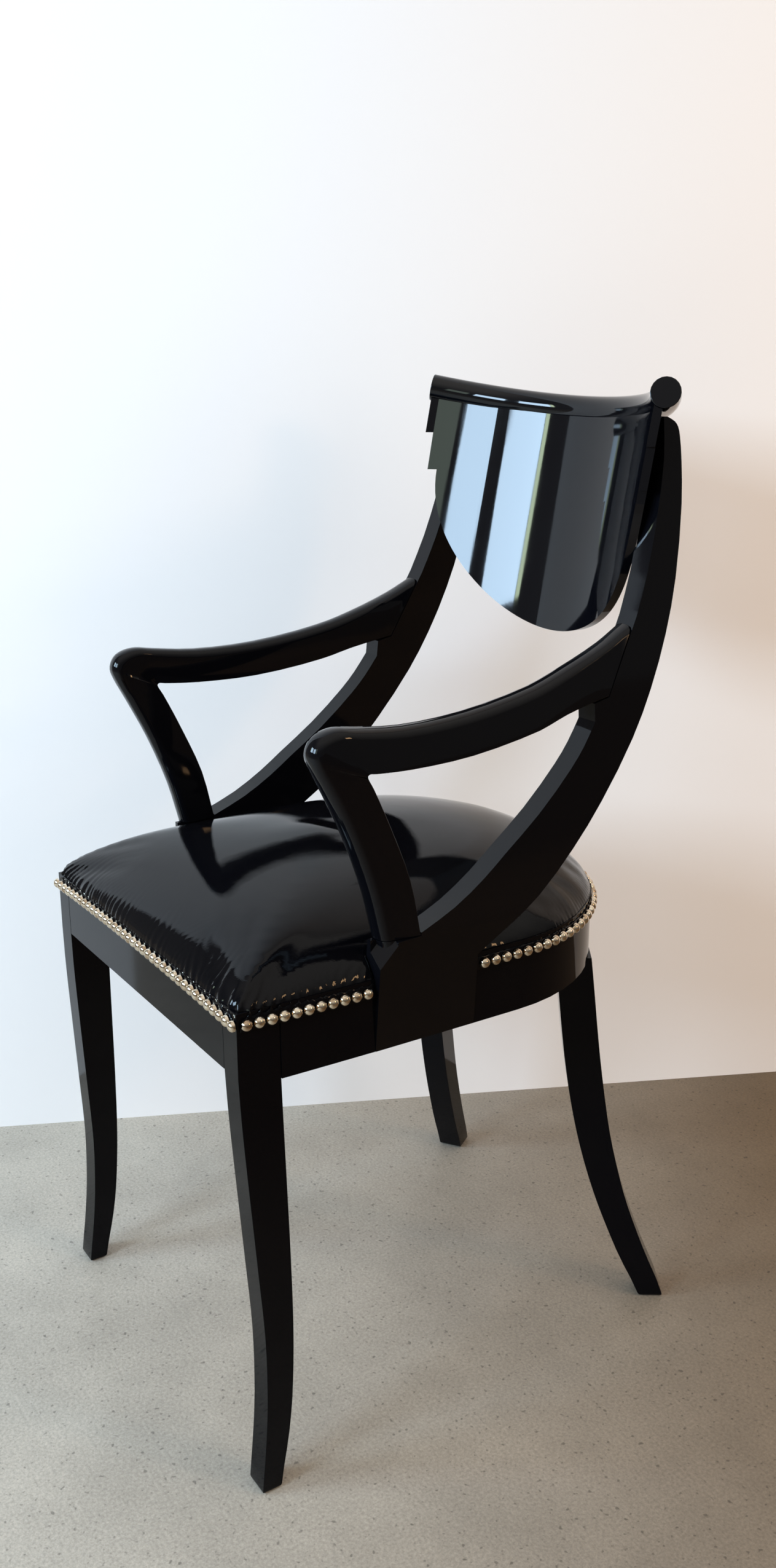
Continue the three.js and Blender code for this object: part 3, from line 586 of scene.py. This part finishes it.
def carve(body, tool):
    cut = body.modifiers.new("cut", "BOOLEAN")
    cut.operation = "DIFFERENCE"
    cut.solver = "MANIFOLD"
    cut.object = tool
    apply_modifiers(body)
    bpy.data.objects.remove(tool)


def side_room(node, gap):
    """The space a side frame takes, with a gap round it."""
    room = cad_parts[node].copy()
    room.data = room.data.copy()
    room.parent = None
    bpy.context.scene.collection.objects.link(room)
    room.modifiers.clear()
    weld = room.modifiers.new("weld", "WELD")
    weld.merge_threshold = MERGE_UNDER
    grow = room.modifiers.new("grow", "DISPLACE")
    grow.strength = gap
    grow.mid_level = 0.0
    apply_modifiers(room)
    return room


def frame_room():
    """The space under the cover that the seat frame takes."""
    outline = seat_outline(SEATING_GAP, CORE_CORNER)
    levels = (COVER_BOTTOM - CUT_DEEP, RAIL_TOP + SEATING_GAP)
    return loft("core", [[(x, FRONT_Y + y, z) for x, y in outline] for z in levels])


def lower_edge_room():
    """Everything under the cover's lower edge, which bows with the nail rows."""
    outline = seat_outline(CUT_WIDE, CORNER_RADIUS)
    low = [(x, FRONT_Y + y, COVER_BOTTOM - CUT_DEEP) for x, y in outline]
    high = [(x, FRONT_Y + y, COVER_BOTTOM + cover_rise(x, y)) for x, y in outline]
    return loft("lower_cut", [low, high])


def height_group(body, name, chosen):
    """Vertex group of the vertices whose height is chosen."""
    group = body.vertex_groups.new(name=name)
    group.add([i for i, v in enumerate(body.data.vertices) if chosen(v.co.z)], 1.0, "REPLACE")


def settle(body):
    """Places that the vertices move to when the cover swells as cloth, held at its nailed edge."""
    cloth = body.modifiers.new("cloth", "CLOTH")
    cloth.settings.use_pressure = True
    cloth.settings.uniform_pressure_force = CLOTH_PRESSURE
    cloth.settings.vertex_group_mass = "held"
    cloth.settings.effector_weights.gravity = 0.0
    scene = bpy.context.scene
    for number in range(1, CLOTH_FRAMES + 1):
        scene.frame_set(number)
    graph = bpy.context.evaluated_depsgraph_get()
    moved = [v.co.copy() for v in body.evaluated_get(graph).data.vertices]
    body.modifiers.clear()
    scene.frame_set(1)
    return moved


def swell(body):
    """Remeshes the cover, presses it out from inside as cloth, and calms its small wrinkles."""
    remesh = body.modifiers.new("remesh", "REMESH")
    remesh.mode = "VOXEL"
    remesh.voxel_size = CLOTH_VOXEL
    apply_modifiers(body)
    height_group(body, "held", lambda z: z < COVER_BOTTOM + CLOTH_PINNED)
    height_group(body, "free", lambda z: z > COVER_BOTTOM + CLOTH_PINNED / 2)
    rest = [v.co.copy() for v in body.data.vertices]
    for vertex, start_at, end_at in zip(body.data.vertices, rest, settle(body)):
        way = end_at - start_at
        if way.length > CLOTH_CAP:
            way = way.normalized() * CLOTH_CAP
        vertex.co = start_at + way
    calm = body.modifiers.new("calm", "SMOOTH")
    calm.vertex_group = "free"
    calm.iterations = CLOTH_CALM
    finer = body.modifiers.new("finer", "SUBSURF")
    finer.levels = finer.render_levels = 1
    apply_modifiers(body)


def level_crown(body):
    """Puts the crown back at the solid's height after the cloth has swelled."""
    top = max(v.co.z for v in body.data.vertices)
    scale = CROWN_RISE / (top - SIDE_TOP)
    for vertex in body.data.vertices:
        if vertex.co.z > SIDE_TOP:
            vertex.co.z = SIDE_TOP + (vertex.co.z - SIDE_TOP) * scale


def plan_noise(x, y, scale, level):
    return noise.noise(Vector((x * scale, y * scale, level)))


def gather_depth(x, y, height):
    """How far a gather stands out at a place in plan and a height above the nails."""
    grow = min(1.0, height / GATHER_START)
    fade = math.exp(-height / GATHER_FADE)
    corner = math.exp(-math.dist((abs(x), y), (SEAT_FRONT_HALF, 0.0)) / GATHER_CORNER)
    turn = math.atan2(x, SEAT_CENTRE - y) * GATHER_TURN_RADIUS
    jitter = plan_noise(x, y, GATHER_JITTER_SCALE, GATHER_JITTER_LEVEL)
    patch = plan_noise(x, y, GATHER_PATCH_SCALE, GATHER_PATCH_LEVEL) ** 2
    pleat = math.sin(math.tau * (turn / GATHER_LONG + jitter * GATHER_JITTER))
    sharp = min(GATHER_CAP, 1 - abs(pleat) ** GATHER_SHARP * 2)
    amount = GATHER_EVEN_SHARE + GATHER_PATCH_SHARE * patch + GATHER_CORNER_SHARE * corner
    return GATHER_DEEP * grow * fade * amount * sharp


def gather(body):
    """Small upright puckers where the cover is drawn down over the edge."""
    body.data.update()
    normals = [v.normal.copy() for v in body.data.vertices]
    for vertex, normal in zip(body.data.vertices, normals):
        x, y = vertex.co.x, vertex.co.y - FRONT_Y
        height = vertex.co.z - (NAIL_Z + cover_rise(x, y) + NAIL_RADIUS)
        if height >= 0 and normal.z <= FLAT_NORMAL:
            vertex.co += normal * gather_depth(x, y, height)


def build_cover(material):
    body = loft("seat_cover", seat_rings(COVER_BOTTOM - SKIRT_SPARE))
    swell(body)
    level_crown(body)
    gather(body)
    for side in ("right", "left"):
        carve(body, side_room(f"stile_{side}", COVER_GAP))
    carve(body, frame_room())
    carve(body, lower_edge_room())
    body.data.materials.clear()
    body.data.materials.append(material)
    for face in body.data.polygons:
        face.use_smooth = True
    body.data.set_sharp_from_angle(angle=math.radians(COVER_CREASE))
    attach(body, "root")
    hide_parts("seat_cushion")


# Nails

def dome(points, faces, at, face, seed):
    """One domed head, a little flatter than a ball and turned a little by its seed."""
    up = Vector((0, 0, 1))
    out = Vector(face).normalized()
    side = up.cross(out)
    first = len(points)
    spin = noise.noise(Vector((seed, 0.5, 0.5))) * NAIL_SPIN
    out = (out + side * spin).normalized()
    for i in range(NAIL_RINGS):
        turn = math.pi / 2 * i / NAIL_RINGS
        for j in range(NAIL_SIDES):
            a = math.tau * j / NAIL_SIDES
            spoke = side * math.cos(a) + up * math.sin(a)
            rim = Vector(at) + spoke * NAIL_RADIUS * math.cos(turn)
            points.append(rim + out * NAIL_HIGH * math.sin(turn))
    points.append(Vector(at) + out * NAIL_HIGH)
    dome_faces(faces, first)


def dome_faces(faces, first):
    """Faces of a dome whose points start at a number: its bands, its cap and its flat back."""
    for i in range(NAIL_RINGS - 1):
        for j in range(NAIL_SIDES):
            a = first + i * NAIL_SIDES + j
            b = first + i * NAIL_SIDES + (j + 1) % NAIL_SIDES
            faces.append((a, b, b + NAIL_SIDES, a + NAIL_SIDES))
    last = first + (NAIL_RINGS - 1) * NAIL_SIDES
    for j in range(NAIL_SIDES):
        faces.append((last + j, last + (j + 1) % NAIL_SIDES, last + NAIL_SIDES))
    faces.append(tuple(reversed(range(first, first + NAIL_SIDES))))


def spot_at(line, lengths, length):
    """Point of a plan line at a length along it, kept between its ends."""
    length = min(max(length, 0.0), lengths[-1])
    i = next(k for k in range(1, len(lengths)) if lengths[k] >= length)
    share = (length - lengths[i - 1]) / (lengths[i] - lengths[i - 1])
    a, b = line[i - 1], line[i]
    return Vector((a[0] + share * (b[0] - a[0]), a[1] + share * (b[1] - a[1])))


def even_spots(line, count):
    """Points at even steps along a plan line, each with its direction out of the seat."""
    lengths = [0.0]
    for a, b in zip(line, line[1:]):
        lengths.append(lengths[-1] + math.dist(a, b))
    spots = []
    for i in range(count):
        length = lengths[-1] * i / (count - 1)
        spot = spot_at(line, lengths, length)
        ahead = spot_at(line, lengths, length + NAIL_RADIUS)
        behind = spot_at(line, lengths, length - NAIL_RADIUS)
        way = (ahead - behind).normalized()
        z = NAIL_Z + cover_rise(spot.x, spot.y)
        spots.append(((spot.x, FRONT_Y + spot.y, z), (way.y, -way.x, 0.0)))
    return spots


def nail_row(name, node, line, count, material):
    points, faces = [], []
    for i, (at, face) in enumerate(even_spots(line, count)):
        dome(points, faces, at, face, i)
    row = mesh_of(name, points, faces)
    row.data.materials.append(material)
    row.data.set_sharp_from_angle(angle=math.radians(NAIL_CREASE))
    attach(row, "root")
    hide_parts(node)


def build_nails(material):
    out = COVER_THICK + SEATING_GAP * 2
    half = seat_half(out, OUTLINE_STEP)
    front_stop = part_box("nails_side_right")[1].y - FRONT_Y - NAIL_RADIUS
    back_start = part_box("nails_back")[0].y - FRONT_Y + NAIL_RADIUS
    side = [p for p in half if CORNER_RADIUS <= p[1] <= front_stop]
    nail_row("nail_heads_side_right", "nails_side_right", side, SIDE_NAILS, material)
    nail_row("nail_heads_side_left", "nails_side_left", mirrored(side), SIDE_NAILS, material)
    rear = [p for p in half if p[1] >= back_start][:-1]
    rear += [(0.0, half[-1][1])] + mirrored(rear)
    nail_row("nail_heads_back", "nails_back", rear, BACK_NAILS, material)
    end = SEAT_FRONT_HALF - NAIL_RADIUS / 2
    nail_row("nail_heads_front", "nails_front", [(-end, -out), (end, -out)], FRONT_NAILS, material)


# Studio

def floor_paint_and_shade():
    """Pale smooth concrete with fine aggregate, and painted shade: darker away from the windows,
    where their light falls off.
    """
    made, nodes, links, shader = start("floor_paint_and_shade")
    where = place(nodes, links)
    # Painted shade: the colour darkens away from the windows
    colour = graded(nodes, links, where, FLOOR_SHADE_WAY, FLOOR_SHADE_SPAN, FLOOR_PALE, FLOOR_PAINTED_SHADE)
    cloud = cloudy(nodes, links, where, scale=5.0, detail=6.0, rough=0.65)
    grit = cloudy(nodes, links, where, scale=330.0, detail=4.0, rough=0.8)
    stones = cloudy(nodes, links, where, scale=170.0, detail=1.0)
    for value, source, target in (
        (cloud, EVEN_SPAN, FLOOR_CLOUDS),
        (grit, EVEN_SPAN, FLOOR_GRIT),
        (stones, STONES_SPAN, FLOOR_STONES),
    ):
        colour = multiply(nodes, links, colour, remap(nodes, links, value, source, target))
    links.new(colour, shader.inputs["Base Color"])
    shader.inputs["Roughness"].default_value = FLOOR_ROUGH
    shader.inputs["Specular IOR Level"].default_value = FLOOR_SPECULAR
    return made


def wall_paint_and_shade():
    """Matt white wall whose colour holds painted shade: it turns warmer away from the windows,
    standing in for the warm light and shade there; nothing of it shows from behind.
    """
    made, nodes, links, shader = start("wall_paint_and_shade")
    where = place(nodes, links)
    # Painted warm shade: the colour warms along the wall away from the windows
    colour = graded(nodes, links, where, (*WALL_ALONG, 0.0), WALL_SHADE_SPAN, WALL_WHITE, WALL_PAINTED_WARM_SHADE)
    links.new(colour, shader.inputs["Base Color"])
    shader.inputs["Roughness"].default_value = WALL_ROUGH
    seen = nodes.new("ShaderNodeNewGeometry")
    clear = nodes.new("ShaderNodeBsdfTransparent")
    mix = nodes.new("ShaderNodeMixShader")
    links.new(seen.outputs["Backfacing"], mix.inputs["Fac"])
    links.new(shader.outputs["BSDF"], mix.inputs[1])
    links.new(clear.outputs["BSDF"], mix.inputs[2])
    links.new(mix.outputs["Shader"], nodes["Material Output"].inputs["Surface"])
    return made


def build_studio():
    signs = ((-1, -1), (1, -1), (1, 1), (-1, 1))
    corners = [(x * FLOOR_HALF, y * FLOOR_HALF, 0) for x, y in signs]
    floor = mesh_of("floor", corners, [(0, 1, 2, 3)])
    floor.data.materials.append(floor_paint_and_shade())
    a = Vector((WALL_FROM[0], FRONT_Y + WALL_FROM[1], 0))
    b = a + Vector((*WALL_ALONG, 0)) * WALL_LONG
    high = Vector((0, 0, WALL_HIGH))
    wall = mesh_of("wall", [a, b, b + high, a + high], [(0, 1, 2, 3)])
    wall.data.materials.append(wall_paint_and_shade())


def lamp(name, at, target, size, radiance, colour):
    """Area lamp of a width and a height that gives a radiance, unseen by the camera itself."""
    data = bpy.data.lights.new(name, "AREA")
    data.shape = "RECTANGLE"
    data.size, data.size_y = size
    data.energy = radiance * math.pi * size[0] * size[1]
    data.color = colour
    made = new_object(name, data)
    made.location = at
    made.rotation_euler = (Vector(target) - Vector(at)).to_track_quat("-Z", "Y").to_euler()
    made.visible_camera = False
    return made


def build_dome():
    """World light that rises overhead, but not on its dark side."""
    world = bpy.data.worlds.new("room")
    bpy.context.scene.world = world
    world.use_nodes = True
    nodes, links = world.node_tree.nodes, world.node_tree.links
    back = nodes["Background"]
    back.inputs["Color"].default_value = DOME_COLOUR
    way = nodes.new("ShaderNodeTexCoord").outputs["Generated"]
    parts = nodes.new("ShaderNodeSeparateXYZ")
    links.new(way, parts.inputs["Vector"])
    rise = remap(nodes, links, parts.outputs["Z"], DOME_RISE_SPAN, (0.0, DOME_RISE))
    dark = along(nodes, links, way, DOME_DARK_WAY)
    strength = add(nodes, "ShaderNodeMath", operation="MULTIPLY_ADD")
    links.new(rise, strength.inputs[0])
    links.new(remap(nodes, links, dark, DOME_DARK_SPAN, (1.0, 0.0)), strength.inputs[1])
    strength.inputs[2].default_value = DOME_LOW
    links.new(strength.outputs["Value"], back.inputs["Strength"])


def build_lamps():
    for name, degrees, wide, radiance, colour in WINDOWS:
        turn = math.radians(degrees)
        y = WINDOW_TARGET_Y - WINDOW_FAR * math.cos(turn)
        at = (WINDOW_FAR * math.sin(turn), y, WINDOW_Z)
        target = (0, WINDOW_TARGET_Y, WINDOW_Z)
        lamp(f"window_{name}", at, target, (wide, WINDOW_HIGH), radiance, colour)
    fill = lamp("room_fill", FILL_AT, FILL_TARGET, FILL_SIZE, FILL_RADIANCE, FILL_COLOUR)
    fill.visible_glossy = False
    lamp("room_glow", GLOW_AT, GLOW_TARGET, GLOW_SIZE, GLOW_RADIANCE, GLOW_COLOUR)


def build_camera():
    data = bpy.data.cameras.new("camera")
    data.sensor_width = CAMERA_SENSOR
    data.lens = CAMERA_LENS
    data.shift_x, data.shift_y = CAMERA_SHIFT
    made = new_object("camera", data)
    columns = [Vector(v).normalized() for v in (CAMERA_RIGHT, CAMERA_UP, CAMERA_BACK)]
    turn = Matrix(columns).transposed().to_4x4()
    spot = Vector(CAMERA_AT) + Vector((0, FRONT_Y, 0))
    made.matrix_world = Matrix.Translation(spot) @ turn
    bpy.context.scene.camera = made


build_camera()
build_studio()
build_dome()
build_lamps()
dress_solids()
build_cover(patent_leather())
build_nails(nickel())

bpy.context.scene.view_settings.view_transform = "Standard"
